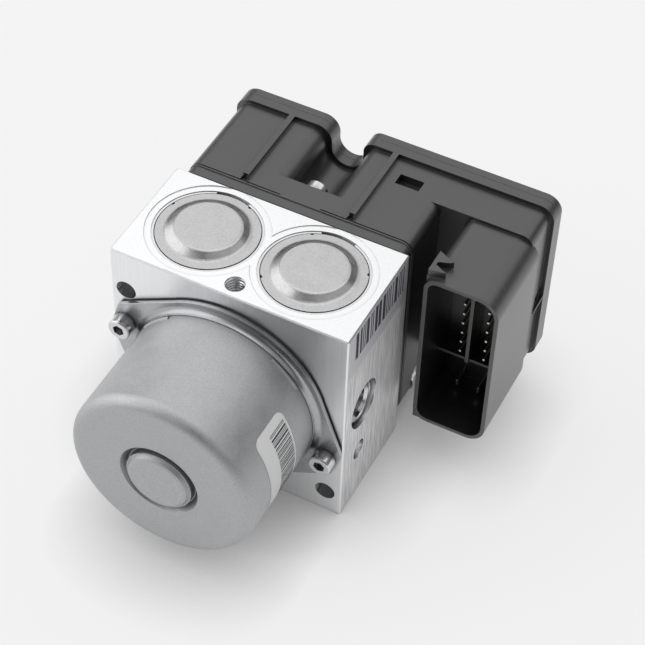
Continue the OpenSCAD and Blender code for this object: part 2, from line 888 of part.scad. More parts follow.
module accumulator_piston(side) {
    color([0.7, 0.72, 0.75])
        translate([side * acc_x, acc_y, acc_floor + 0.5])
            rotate_extrude()
                difference() {
                    square([acc_bore_r - slip, acc_piston_h]);
                    translate([acc_bore_r - 2.4, 4])
                        square([3, 2.6]);
                    translate([-1, 3])
                        square([acc_bore_r - 2.5, acc_piston_h]);
                }
}

module accumulator_seal(side) {
    color([0.1, 0.1, 0.1])
        translate([side * acc_x, acc_y, acc_floor + 4.55])
            rotate_extrude()
                translate([acc_bore_r - 2.35, 0])
                    square([2.3, 2.5]);
}

module accumulator_spring(side) {
    color([0.6, 0.6, 0.62])
        translate([side * acc_x, acc_y, acc_floor + 3.5 + gap])
            coil_spring(dome_top_r - 2.4, 1.1, 4, pocket_floor + dome_h + 0.95 - acc_floor - 3.5);
}

// Valves

// Puts a copy of its children at every valve: their Z points out of the valve face
module at_valves() {
    for (x = valve_xs, z = valve_rows)
        valve_place(x, z)
            children();
}

module valve_place(x, z) {
    translate([x, rear_y, z])
        rotate([-90, 0, 0])
            children();
}

module valve_bodies() {
    color([0.75, 0.75, 0.77])
        at_valves()
            rotate_extrude($fn = 32)
                difference() {
                    union() {
                        translate([0, -15.8])
                            square([valve_r - 1, 5]);
                        translate([0, -11])
                            square([valve_r, 11]);
                        square([3.9, 1.6]);
                    }
                    translate([-1, -9])
                        square([2.1, 12]);
                }
}

module valve_domes() {
    color([0.8, 0.8, 0.82])
        at_valves()
            rotate_extrude($fn = 32)
                difference() {
                    translate([0, 1.65])
                        square([valve_dome_r, valve_dome_len]);
                    translate([-1, 1])
                        square([valve_dome_r + 0.6, valve_dome_len]);
                }
}

module valve_plunger(i, row) {
    color([0.55, 0.56, 0.6])
        valve_place(valve_xs[i - 1], valve_rows[row]) {
            translate([0, 0, 4])
                cylinder(r = 3 - slip, h = 14 - valve_stroke, $fn = 32);
            translate([0, 0, -8])
                cylinder(r = 0.9, h = 12.5, $fn = 24);
        }
}

module coil_yokes() {
    color([0.5, 0.51, 0.53])
        at_valves()
            translate([0, 0, coil_base])
                difference() {
                    cylinder(r = coil_r, h = coil_len);
                    translate([0, 0, 1])
                        cylinder(r = coil_r - 0.8, h = coil_len - 2);
                    translate([0, 0, -1])
                        cylinder(r = dome_hole_r, h = coil_len + 2);
                    translate([-3, coil_r - 2, 1])
                        cube([6, 4, coil_len - 2]);
                }
}

module coil_windings() {
    color([0.72, 0.42, 0.2])
        at_valves()
            translate([0, 0, coil_base + 1.1])
                ring(coil_r - 0.95, dome_hole_r + 0.1, coil_len - 2.2);
}

// Control unit

// Solid with the outline of the part behind the block, from y0 to y1; grow moves its sides outward
module ecu_middle(y0, y1, grow) {
    front_view(y0, y1)
        difference() {
            round_rect(ecu_left - grow, ecu_bottom - grow, ecu_mid + grow, ecu_top + grow,
                [4, 4, 4.6, 4.6] + grow * [1, 1, 1, 1]);
            for (p = ecu_screws_at)
                notch_view(p, -grow);
        }
}

// The same with the wide part beside the block
module ecu_whole(y0, y1, grow) {
    ecu_middle(y0, y1, grow);
    front_view(y0, y1)
        difference() {
            round_rect(ecu_mid - 8, wing_bottom - grow, ecu_right + grow, ecu_top + grow,
                [0.5, 4, 4.6, 0.5] + grow * [0, 1, 1, 0]);
            for (p = ecu_screws_at)
                notch_view(p, -grow);
        }
}

// Front view of the notch of screw p: open at the top, or at a bottom corner
module notch_view(p, grow) {
    r = p[3] + rim_over + grow;
    reach = (p[2] > 0 ? ecu_top - p[1] : p[1] - ecu_bottom) - grow;
    translate([p[0], p[1]])
        scale([1, p[2]]) {
            circle(r);
            translate([-r, 0])
                square([2 * r, reach + 2]);
            if (p[2] < 0)
                translate([min(0, 12 * sign(p[0])), -r])
                    square([12, 2 * r + 4]);
            if (grow <= 0 && p[2] > 0)
                notch_lip(r, reach, [6.2, 4.6]);
        }
}

// Rounded mouth of a notch that is open upward; lip holds the left and right radius
module notch_lip(r, reach, lip) {
    difference() {
        translate([-r - lip[0], reach - max(lip)])
            square([2 * r + lip[0] + lip[1], max(lip) + 2]);
        for (i = [0, 1])
            translate([(2 * i - 1) * (r + lip[i]), reach - lip[i]])
                circle(lip[i]);
        for (i = [0, 1])
            translate([i == 0 ? -r - lip[0] - 1 : r, reach - max(lip) - 1])
                square([lip[i] + 1, 1 + max(lip) - lip[i]]);
    }
}

module ecu_housing() {
    color([0.17, 0.17, 0.18])
        difference() {
            union() {
                difference() {
                    ecu_walls();
                    ecu_hollow();
                }
                window_pocket();
                ecu_ribs();
                connector_shroud();
            }
            ecu_details_cut();
            for (p = ecu_screws_at)
                rod_y(p[0], p[4], screw_d / 2 + 0.15, rear_y - 1, notch_y + 1);
        }
}

// Outer shape: base flange, body behind the block, wide part and outer rim
module ecu_walls() {
    front_view(base_y, rear_y + base_t)
        round_rect(ecu_left + 0.3, ecu_bottom + 0.3, ecu_mid - 0.3, ecu_top - 0.4, [3.5, 3.5, 4, 4]);
    front_view(base_y + 4, notch_y)
        round_rect(ecu_left, ecu_bottom, ecu_mid, ecu_top, [4, 4, 4.6, 4.6]);
    ecu_middle(notch_y, step_y + 1, 0);
    ecu_whole(step_y, rim_y + 1, 0);
    ecu_whole(rim_y, lid_y, rim_over);
}

// Two long ribs on the top and a small gusset on the right side
module ecu_ribs() {
    for (x = rib_xs)
        translate([x, rear_y + base_t + 0.7, ecu_top - 1])
            cube([rib_w, ecu_rim_y - base_t - 0.3, rim_over + 1]);
    intersection() {
        side_view(ecu_right - 0.5, ecu_right + rim_over)
            polygon([gusset_foot, [rim_y + 0.5, gusset_foot[1] + gusset_rise],
                [rim_y + 0.5, gusset_foot[1] + gusset_rise - 1.4], gusset_foot - [0, 1.2]]);
        linear_extrude(ecu_top)
            polygon([[ecu_right - 1, gusset_foot[0] - 1], [ecu_right + 0.1, gusset_foot[0] - 1],
                [ecu_right + rim_over, rim_y], [ecu_right + rim_over, rim_y + 1], [ecu_right - 1, rim_y + 1]]);
    }
}

module ecu_hollow() {
    front_view(base_y + ecu_wall, lid_y + 1)
        difference() {
            round_rect(ecu_left + ecu_wall, ecu_bottom + ecu_wall, ecu_mid - ecu_wall, ecu_top - ecu_wall,
                [3, 3, 3, 3]);
            for (p = ecu_screws_at)
                notch_view(p, 1.6);
        }
    front_view(step_y + ecu_wall, lid_y + 1)
        difference() {
            round_rect(ecu_mid - 6, wing_bottom + ecu_wall, ecu_right - ecu_wall, ecu_top - ecu_wall,
                [1, 3, 3, 1]);
            for (p = ecu_screws_at)
                notch_view(p, 1.6);
        }
    for (x = valve_xs, z = valve_rows)
        rod_y(x, z, 4.4, rear_y - 1, base_y + ecu_wall + 1);
    translate([-2.6, rear_y - 1, cable_z - 2.5])
        cube([5.2, 6, 5]);
}

// Closed pocket under the small window in the top
module window_pocket() {
    translate([window_at[0] - 1.3, window_at[1] - 1.3, ecu_top - 4.6])
        cube([window_size[0] + 2.6, window_size[1] + 2.6, 4]);
}

// Groove behind the base flange, rib feet, window in the top, small pocket above the side gusset,
// seal groove and contact pins
module ecu_details_cut() {
    front_view(rear_y + base_t, rear_y + base_t + 0.45)
        difference() {
            translate([ecu_left - 5, ecu_bottom - 5])
                square([ecu_mid - ecu_left + 8, ecu_top - ecu_bottom + 10]);
            round_rect(ecu_left + 0.9, ecu_bottom + 0.9, ecu_mid - 0.9, ecu_top - 1, [3, 3, 3.4, 3.4]);
            translate([groove_gap[0], ecu_top - 5])
                square([groove_gap[1] - groove_gap[0], 12]);
        }
    for (x = rib_xs)
        translate([x - 0.2, rear_y + base_t + 0.3, ecu_top - 1])
            cube([rib_w + 0.1, 2, 4]);
    translate([window_at[0], window_at[1], ecu_top - 3.4])
        cube([window_size[0], window_size[1], 6]);
    side_view(ecu_right - 1.1, ecu_right + 1)
        polygon([gusset_foot, [rim_y, gusset_foot[1] + gusset_rise], [rim_y, gusset_foot[1] + gusset_rise + 3],
            gusset_foot + [0.6, gusset_rise + 0.6]]);
    front_view(rear_y - 1, base_y + 1.2)
        seal_ring_2d(0.1);
    contact_pins(0.04);
}

// Seal track: it follows the edge of the base and passes inside the three screws
module seal_ring_2d(play) {
    difference() {
        seal_edge(2.6 - play, 4.2 - play);
        seal_edge(4.4 + play, 6 + play);
    }
}

module seal_edge(inset, r) {
    difference() {
        round_rect(ecu_left + inset, ecu_bottom + inset, ecu_mid - inset, ecu_top - inset - 0.4, [2, 2, 2, 2]);
        for (p = ecu_screws_at)
            translate([p[0], p[1]]) {
                circle(r);
                scale([1, p[2]])
                    translate([-r, 0])
                        square([2 * r, 12]);
            }
    }
}

module shroud_inside() {
    round_rect(con_x0 + con_wall, con_z0 + con_wall, con_x1 - con_wall, con_z1 - con_wall,
        [4.2, 6, 6.8, 3.5]);
}

// Connector shroud with its square foot, partitions, contact carrier and latch ramp
module connector_shroud() {
    front_view(con_y, step_y + 1)
        difference() {
            round_rect(con_x0, con_z0, con_x1, con_z1, [5.5, 7.4, 8.2, 4.8]);
            shroud_inside();
        }
    front_view(con_y + 0.8, con_y + 15)
        difference() {
            translate([con_x0 - 0.2, con_z0 - 0.3])
                square([7.2, 6.4]);
            shroud_inside();
        }
    front_view(con_floor_y, con_floor_y + 2.4)
        round_rect(con_x0 + 0.5, con_z0 + 0.5, con_x1 - 0.5, con_z1 - 0.5, [5, 7, 7.8, 4.4]);
    translate([con_x0 + 12.4, con_y + 15, pin_z0 - 2.4])
        cube([1.4, con_floor_y - con_y - 14, con_z1 - pin_z0 - 1.4]);
    translate([con_x0 + 1, con_y + 17, pin_z0 - 3.6])
        cube([con_x1 - con_x0 - 2, con_floor_y - con_y - 16, 1.3]);
    latch_ramp();
}

module latch_ramp() {
    translate([con_x0, con_y, con_z1 - 2.4])
        linear_extrude(2.5)
            polygon([[0.2, 1.5], [6.6, 2.2], [6.6, 10], [0.2, 13]]);
    translate([con_x0, con_y, con_z1 - 0.4])
        linear_extrude(3.2)
            polygon([[0.3, 1.9], [6.5, 3], [1.7, 5.3], [1.8, 6.6], [5.7, 8.1], [6.8, 9], [0.3, 11.9]]);
}

module ecu_seal() {
    color([0.12, 0.12, 0.12])
        front_view(base_y, base_y + 1.15)
            seal_ring_2d(0);
}

// Cover with a stepped edge, hollow on the inside
module ecu_lid() {
    color([0.15, 0.15, 0.16])
        difference() {
            union() {
                ecu_whole(lid_y + gap, back_y - 0.8, rim_over);
                ecu_whole(back_y - 0.9, back_y, rim_over - 0.9);
            }
            ecu_whole(lid_y, back_y - 2.2, -2);
        }
}

// Housing screws: socket heads on round flanges
module ecu_screws() {
    color([0.85, 0.85, 0.87])
        for (p = ecu_screws_at)
            translate([p[0], notch_y + gap, p[4]])
                rotate([-90, 0, 0]) {
                    socket_screw(notch_y - rear_y + 10);
                    cylinder(r = screw_head_d / 2 + 0.6, h = 1.3);
                }
}

// Circuit board with its larger components
module circuit_board() {
    color([0.1, 0.32, 0.2]) {
        front_view(board_y, board_y + board_t)
            difference() {
                round_rect(ecu_left + 3.2, wing_bottom + 3.2, ecu_right - 3.2, ecu_top - 3.2, [3, 3, 3, 3]);
                for (p = ecu_screws_at)
                    notch_view(p, 3);
            }
        for (c = [[-24, 43, 16, 16], [10, 39, 12, 12], [-8, 21, 8, 6], [30, 19, 14, 8], [24, 59, 10, 10]])
            translate([c[0], board_y + board_t - 0.2, ecu_top - c[1]])
                cube([c[2], 2.2, c[3]]);
    }
}

// Contact pins of the wiring connector, ending at the circuit board
module connector_pins() {
    color([0.85, 0.8, 0.66])
        contact_pins(0);
}

// Two rows of small pins above two blades, each bigger by play on every side
module contact_pins(play) {
    for (x = pin_xs, i = [0 : 7])
        pin(x, pin_z0 + i * pin_pitch, pin_w + 2 * play, pin_w + 2 * play, con_y + 17 - play);
    for (x = [con_x0 + 9.2, con_x0 + 17.6])
        pin(x, con_z0 + 5, 0.8 + 2 * play, 2.8 + 2 * play, con_y + 18.5 - play);
}

module pin(x, z, w, h, y0) {
    translate([x - w / 2, y0, z - h / 2])
        cube([w, board_y - gap - y0, h]);
}

hydraulic_block();
channel_plugs();
motor_gasket();
motor_flange();
motor_can();
motor_screws();
motor_magnets();
rotor_shaft();
armature_core();
armature_winding();
commutator();
bearing_inner_rings();
bearing_balls();
bearing_outer_rings();
eccentric_bearing();
brush_holder();
brushes();
brush_springs();
motor_terminals();
pump_piston(0);  // pump_piston_right
pump_piston(1);  // pump_piston_left
pump_sleeves();
pump_springs();
pump_plugs();
accumulator_caps();
snap_rings();
accumulator_spring(1);  // accumulator_spring_right
accumulator_spring(-1);  // accumulator_spring_left
accumulator_piston(1);  // accumulator_piston_right
accumulator_piston(-1);  // accumulator_piston_left
accumulator_seal(1);  // accumulator_seal_right
accumulator_seal(-1);  // accumulator_seal_left
valve_bodies();
valve_domes();
valve_plunger(1, 1);  // inlet_plunger_1
valve_plunger(2, 1);  // inlet_plunger_2
valve_plunger(3, 1);  // inlet_plunger_3
valve_plunger(4, 1);  // inlet_plunger_4
valve_plunger(1, 0);  // outlet_plunger_1
valve_plunger(2, 0);  // outlet_plunger_2
valve_plunger(3, 0);  // outlet_plunger_3
valve_plunger(4, 0);  // outlet_plunger_4
coil_yokes();
coil_windings();
ecu_seal();
ecu_housing();
ecu_lid();
ecu_screws();
circuit_board();
connector_pins();
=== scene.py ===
import bpy
import bmesh
import math
import random
from mathutils import Matrix, Vector


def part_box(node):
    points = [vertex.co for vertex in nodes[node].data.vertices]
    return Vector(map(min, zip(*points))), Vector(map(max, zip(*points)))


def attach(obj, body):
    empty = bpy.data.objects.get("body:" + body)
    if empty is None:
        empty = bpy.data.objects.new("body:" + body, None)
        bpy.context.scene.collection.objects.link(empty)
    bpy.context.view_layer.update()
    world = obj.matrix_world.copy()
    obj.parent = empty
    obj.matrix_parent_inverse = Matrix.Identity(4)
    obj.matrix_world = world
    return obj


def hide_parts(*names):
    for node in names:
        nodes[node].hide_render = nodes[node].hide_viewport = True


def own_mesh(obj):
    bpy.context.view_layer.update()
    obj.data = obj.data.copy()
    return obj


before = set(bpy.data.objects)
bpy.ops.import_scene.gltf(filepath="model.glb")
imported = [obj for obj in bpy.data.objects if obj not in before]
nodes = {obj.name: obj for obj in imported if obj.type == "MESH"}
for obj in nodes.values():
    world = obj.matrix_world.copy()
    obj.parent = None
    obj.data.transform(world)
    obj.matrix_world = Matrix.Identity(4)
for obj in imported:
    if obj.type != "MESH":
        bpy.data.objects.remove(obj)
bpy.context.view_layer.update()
print("frame loaded with", len(nodes), "nodes")

# Places are in metres, with +Z up, the motor towards -Y and the wiring socket at +X
mm = 0.001
blockLow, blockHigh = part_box("hydraulic_block")
frontY, sideX, blockTop = blockLow.y, blockHigh.x, blockHigh.z
motorAxisZ = (blockLow.z + blockHigh.z) / 2
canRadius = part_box("motor_can")[1].x
pistonLow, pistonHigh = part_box("accumulator_piston_right")
capAxis = (pistonLow + pistonHigh) / 2    # the caps lie over the accumulator pistons


def addCamera():
    shot = {
        "azimuth": 25.612,
        "elevation": 47.387,
        "roll": 2.196,
        "lens": 112.41,
        "sensor": 36.0,
        "place": (0.2298, -0.4275, 0.5852),
        "clip": (0.01, 60.0),
    }
    az, el, roll = (math.radians(shot[k]) for k in ("azimuth", "elevation", "roll"))
    back = Vector((math.sin(az) * math.cos(el), -math.cos(az) * math.cos(el), math.sin(el)))
    level = Vector((math.cos(az), math.sin(az), 0))
    upright = back.cross(level)
    right = level * math.cos(roll) + upright * math.sin(roll)
    up = upright * math.cos(roll) - level * math.sin(roll)
    data = bpy.data.cameras.new("photoCamera")
    data.lens = shot["lens"]
    data.sensor_width = shot["sensor"]
    data.clip_start, data.clip_end = shot["clip"]
    camera = bpy.data.objects.new("photoCamera", data)
    bpy.context.collection.objects.link(camera)
    turn = Matrix((right, up, back)).transposed().to_4x4()
    camera.matrix_world = Matrix.Translation(shot["place"]) @ turn
    bpy.context.scene.camera = camera


def addNode(tree, kind, **settings):
    node = tree.nodes.new("ShaderNode" + kind)
    for key, value in settings.items():
        setattr(node, key, value)
    return node


def connect(tree, source, target):
    tree.links.new(source, target)


def mathNode(tree, operation, a, b=0.0, c=0.0, clamp=False):
    node = addNode(tree, "Math", operation=operation, use_clamp=clamp)
    for socket, value in zip(node.inputs, (a, b, c)):
        if isinstance(value, (int, float)):
            socket.default_value = value
        else:
            connect(tree, value, socket)
    return node.outputs[0]


def newGroup(name, inputs, outputs):
    tree = bpy.data.node_groups.new(name, "ShaderNodeTree")
    for label, kind, value in inputs:
        socket = tree.interface.new_socket(name=label, in_out="INPUT", socket_type="NodeSocket" + kind)
        socket.default_value = value
    for label, kind in outputs:
        tree.interface.new_socket(name=label, in_out="OUTPUT", socket_type="NodeSocket" + kind)
    return tree, tree.nodes.new("NodeGroupInput"), tree.nodes.new("NodeGroupOutput")


groups = {}


def useGroup(tree, name, **values):
    node = tree.nodes.new("ShaderNodeGroup")
    node.node_tree = groups[name]
    for label, value in values.items():
        node.inputs[label.replace("_", " ")].default_value = value
    return node


# fineGrain: speckle of a cast, blasted or moulded surface
def makeFineGrain():
    tree, inside, out = newGroup(
        "fineGrain",
        [("Scale", "Float", 2500.0), ("Patch Scale", "Float", 60.0), ("Contrast", "Float", 1.0)],
        [("Grain", "Float"), ("Patches", "Float")])
    coords = addNode(tree, "TexCoord")
    speckle = addNode(tree, "TexNoise")
    speckle.inputs["Detail"].default_value = 2.0
    patches = addNode(tree, "TexNoise")
    patches.inputs["Detail"].default_value = 3.0
    for texture, scale in ((speckle, "Scale"), (patches, "Patch Scale")):
        connect(tree, coords.outputs["Object"], texture.inputs["Vector"])
        connect(tree, inside.outputs[scale], texture.inputs["Scale"])
    for texture, label in ((speckle, "Grain"), (patches, "Patches")):
        centred = mathNode(tree, "SUBTRACT", texture.outputs["Fac"], 0.5)
        scaled = mathNode(tree, "MULTIPLY", centred, inside.outputs["Contrast"])
        connect(tree, mathNode(tree, "ADD", scaled, 0.5, clamp=True), out.inputs[label])
    return tree


# cutterStreaks: long marks that a cutter or a brush leaves, squeezed by Stretch
def makeCutterStreaks():
    tree, inside, out = newGroup(
        "cutterStreaks",
        [("Stretch", "Vector", (10.0, 1500.0, 10.0)), ("Contrast", "Float", 1.0)],
        [("Streaks", "Float")])
    coords = addNode(tree, "TexCoord")
    squeeze = addNode(tree, "VectorMath", operation="MULTIPLY")
    connect(tree, coords.outputs["Object"], squeeze.inputs[0])
    connect(tree, inside.outputs["Stretch"], squeeze.inputs[1])
    marks = addNode(tree, "TexNoise")
    marks.inputs["Scale"].default_value = 1.0
    marks.inputs["Detail"].default_value = 3.0
    marks.inputs["Roughness"].default_value = 0.6
    connect(tree, squeeze.outputs[0], marks.inputs["Vector"])
    centred = mathNode(tree, "SUBTRACT", marks.outputs["Fac"], 0.5)
    scaled = mathNode(tree, "MULTIPLY", centred, inside.outputs["Contrast"])
    connect(tree, mathNode(tree, "ADD", scaled, 0.5, clamp=True), out.inputs["Streaks"])
    return tree


# capRings: fine turning marks round the two cap axes, on faces that look up
def makeCapRings():
    tree, inside, out = newGroup(
        "capRings",
        [("Pitch", "Float", 2200.0), ("Depth", "Float", 1.0)],
        [("Rings", "Float")])
    coords = addNode(tree, "TexCoord")
    parts = addNode(tree, "SeparateXYZ")
    connect(tree, coords.outputs["Object"], parts.inputs[0])
    across = mathNode(tree, "SUBTRACT", mathNode(tree, "ABSOLUTE", parts.outputs["X"]), capAxis.x)
    along = mathNode(tree, "SUBTRACT", parts.outputs["Y"], capAxis.y)
    squares = mathNode(tree, "ADD", mathNode(tree, "MULTIPLY", across, across),
                       mathNode(tree, "MULTIPLY", along, along))
    radius = mathNode(tree, "SQRT", squares)
    wave = addNode(tree, "TexNoise", noise_dimensions="1D")
    wave.inputs["Detail"].default_value = 2.0
    connect(tree, mathNode(tree, "MULTIPLY", radius, inside.outputs["Pitch"]), wave.inputs["W"])
    wave.inputs["Scale"].default_value = 1.0
    geometry = addNode(tree, "NewGeometry")
    facing = addNode(tree, "SeparateXYZ")
    connect(tree, geometry.outputs["Normal"], facing.inputs[0])
    upward = mathNode(tree, "GREATER_THAN", facing.outputs["Z"], 0.9)
    centred = mathNode(tree, "SUBTRACT", wave.outputs["Fac"], 0.5)
    strength = mathNode(tree, "MULTIPLY", upward, inside.outputs["Depth"])
    connect(tree, mathNode(tree, "MULTIPLY", centred, strength), out.inputs["Rings"])
    return tree


# sideBrush: short upright brush marks on the faces that look along X, and a mask of those faces
def makeSideBrush():
    tree, inside, out = newGroup(
        "sideBrush",
        [("Stretch", "Vector", (0.0, 1500.0, 70.0)), ("Contrast", "Float", 2.8)],
        [("Marks", "Float"), ("Sideways", "Float")])
    streaks = useGroup(tree, "cutterStreaks")
    connect(tree, inside.outputs["Stretch"], streaks.inputs["Stretch"])
    connect(tree, inside.outputs["Contrast"], streaks.inputs["Contrast"])
    geometry = addNode(tree, "NewGeometry")
    facing = addNode(tree, "SeparateXYZ")
    connect(tree, geometry.outputs["Normal"], facing.inputs[0])
    sideways = mathNode(tree, "GREATER_THAN", mathNode(tree, "ABSOLUTE", facing.outputs["X"]), 0.9)
    centred = mathNode(tree, "SUBTRACT", streaks.outputs["Streaks"], 0.5)
    connect(tree, mathNode(tree, "MULTIPLY", centred, sideways), out.inputs["Marks"])
    connect(tree, sideways, out.inputs["Sideways"])
    return tree


# softEdge: rounds hard edges in the shading and finds where they are
def makeSoftEdge():
    tree, inside, out = newGroup(
        "softEdge",
        [("Radius", "Float", 0.0003), ("Sharpness", "Float", 4.0)],
        [("Normal", "Vector"), ("Edge", "Float")])
    bevel = addNode(tree, "Bevel", samples=6)
    connect(tree, inside.outputs["Radius"], bevel.inputs["Radius"])
    geometry = addNode(tree, "NewGeometry")
    facing = addNode(tree, "VectorMath", operation="DOT_PRODUCT")
    connect(tree, bevel.outputs["Normal"], facing.inputs[0])
    connect(tree, geometry.outputs["Normal"], facing.inputs[1])
    bend = mathNode(tree, "SUBTRACT", 1.0, facing.outputs["Value"])
    edge = mathNode(tree, "MULTIPLY", bend, inside.outputs["Sharpness"], clamp=True)
    connect(tree, bevel.outputs["Normal"], out.inputs["Normal"])
    connect(tree, edge, out.inputs["Edge"])
    return tree


# Painted shade in crevices: how open a point is to its surroundings within Distance, used to darken the base
# colour in corners and grooves
def makePaintedCreviceShade():
    tree, inside, out = newGroup(
        "paintedCreviceShade",
        [("Distance", "Float", 0.003), ("Curve", "Float", 1.0)],
        [("Open", "Float")])
    around = addNode(tree, "AmbientOcclusion", samples=6)
    connect(tree, inside.outputs["Distance"], around.inputs["Distance"])
    connect(tree, mathNode(tree, "POWER", around.outputs["AO"], inside.outputs["Curve"]), out.inputs["Open"])
    return tree


groups["fineGrain"] = makeFineGrain()
groups["cutterStreaks"] = makeCutterStreaks()
groups["capRings"] = makeCapRings()
groups["sideBrush"] = makeSideBrush()
groups["softEdge"] = makeSoftEdge()
groups["paintedCreviceShade"] = makePaintedCreviceShade()
print("shader groups:", ", ".join(groups))


def blendColour(tree, mask, low, high):
    mix = addNode(tree, "Mix", data_type="RGBA")
    connect(tree, mask, mix.inputs["Factor"])
    for socket, value in ((mix.inputs[6], low), (mix.inputs[7], high)):
        if isinstance(value, tuple):
            socket.default_value = (*value, 1.0)
        else:
            connect(tree, value, socket)
    return mix.outputs[2]


def spread(tree, mask, low, high):
    node = addNode(tree, "MapRange")
    connect(tree, mask, node.inputs["Value"])
    node.inputs["To Min"].default_value = low
    node.inputs["To Max"].default_value = high
    return node.outputs["Result"]


# Second shader for brushed side faces, whose highlight stretches across the marks
def addBrushedSides(tree, look, tone, sideways, normal):
    shader = tree.nodes["Principled BSDF"]
    brushed = addNode(tree, "BsdfPrincipled")
    brushed.inputs["Metallic"].default_value = look["metallic"]
    brushed.inputs["Roughness"].default_value = look["sideRough"]
    brushed.inputs["Anisotropic"].default_value = look["sideStretch"]
    across = addNode(tree, "CombineXYZ")
    across.inputs["Y"].default_value = 1.0
    connect(tree, across.outputs[0], brushed.inputs["Tangent"])
    connect(tree, tone, brushed.inputs["Base Color"])
    connect(tree, normal, brushed.inputs["Normal"])
    both = addNode(tree, "MixShader")
    connect(tree, sideways, both.inputs["Fac"])
    connect(tree, shader.outputs[0], both.inputs[1])
    connect(tree, brushed.outputs[0], both.inputs[2])
    connect(tree, both.outputs[0], tree.nodes["Material Output"].inputs["Surface"])


usualLook = {    # what a finish has where it doesn't say otherwise
    "metallic": 0.0, "grainScale": 2500.0, "patchScale": 60.0, "contrast": 1.2, "bump": 0.2,
    "bumpDepth": 0.00005, "edgeRadius": 0.0003, "streakContrast": 1.5, "grainShare": 0.3, "creviceShadeCurve": 1.0,
    "creviceShadeTone": (0.1, 0.1, 0.105),
}


# A finish: two tones mixed by grain, patches or streaks, a painted highlight on edges, painted shade in
# corners, a roughness range and a bump
def makeFinish(name, ownLook):
    look = {**usualLook, **ownLook}
    material = bpy.data.materials.new(name)
    material.use_nodes = True
    tree = material.node_tree
    shader = tree.nodes["Principled BSDF"]
    shader.inputs["Metallic"].default_value = look["metallic"]
    for label, key in (("Specular IOR Level", "specular"), ("Coat Weight", "coat"),
                       ("Coat Roughness", "coatRoughness")):
        if key in look:
            shader.inputs[label].default_value = look[key]
    grain = useGroup(tree, "fineGrain", Scale=look["grainScale"], Patch_Scale=look["patchScale"],
                     Contrast=look["contrast"])
    mask = grain.outputs["Grain"]
    if "patchShare" in look:
        mask = mathNode(tree, "MULTIPLY_ADD", grain.outputs["Patches"], look["patchShare"],
                        mathNode(tree, "MULTIPLY", mask, 1.0 - look["patchShare"]))
    height = mask
    if "stretch" in look:
        streaks = useGroup(tree, "cutterStreaks", Stretch=look["stretch"], Contrast=look["streakContrast"])
        height = streaks.outputs["Streaks"]
        mask = mathNode(tree, "MULTIPLY_ADD", mask, look["grainShare"],
                        mathNode(tree, "MULTIPLY", height, 1.0 - look["grainShare"]))
    if "ringDepth" in look:
        rings = useGroup(tree, "capRings", Depth=look["ringDepth"])
        mask = mathNode(tree, "ADD", mask, rings.outputs["Rings"], clamp=True)
        height = mathNode(tree, "ADD", height, rings.outputs["Rings"])
    rough = spread(tree, grain.outputs["Patches"], *look["roughness"])
    tone = blendColour(tree, mask, look["dark"], look["light"])
    if "sideRough" in look:
        brush = useGroup(tree, "sideBrush")
        marks = mathNode(tree, "ADD", brush.outputs["Marks"], 0.5)
        sideTone = blendColour(tree, marks, look["sideDark"], look["sideLight"])
        tone = blendColour(tree, brush.outputs["Sideways"], tone, sideTone)
        height = mathNode(tree, "ADD", height, brush.outputs["Marks"])
    edges = useGroup(tree, "softEdge", Radius=look["edgeRadius"])
    # painted highlight: a lighter tone along hard edges, in random patches
    if "edgeHighlightTone" in look:
        paintedEdgeHighlight = mathNode(tree, "MULTIPLY", edges.outputs["Edge"], grain.outputs["Patches"])
        tone = blendColour(tree, paintedEdgeHighlight, tone, look["edgeHighlightTone"])
    # painted shade: the base colour darkens towards its tone in corners, grooves and recesses
    if "creviceShadeReach" in look:
        paintedCreviceShade = useGroup(tree, "paintedCreviceShade", Distance=look["creviceShadeReach"], Curve=look["creviceShadeCurve"])
        tone = blendColour(tree, paintedCreviceShade.outputs["Open"], look["creviceShadeTone"], tone)
    connect(tree, tone, shader.inputs["Base Color"])
    connect(tree, rough, shader.inputs["Roughness"])
    bump = addNode(tree, "Bump")
    bump.inputs["Strength"].default_value = look["bump"]
    bump.inputs["Distance"].default_value = look["bumpDepth"]
    connect(tree, height, bump.inputs["Height"])
    connect(tree, edges.outputs["Normal"], bump.inputs["Normal"])
    connect(tree, bump.outputs["Normal"], shader.inputs["Normal"])
    if "sideRough" in look:
        addBrushedSides(tree, look, tone, brush.outputs["Sideways"], bump.outputs["Normal"])
    return material
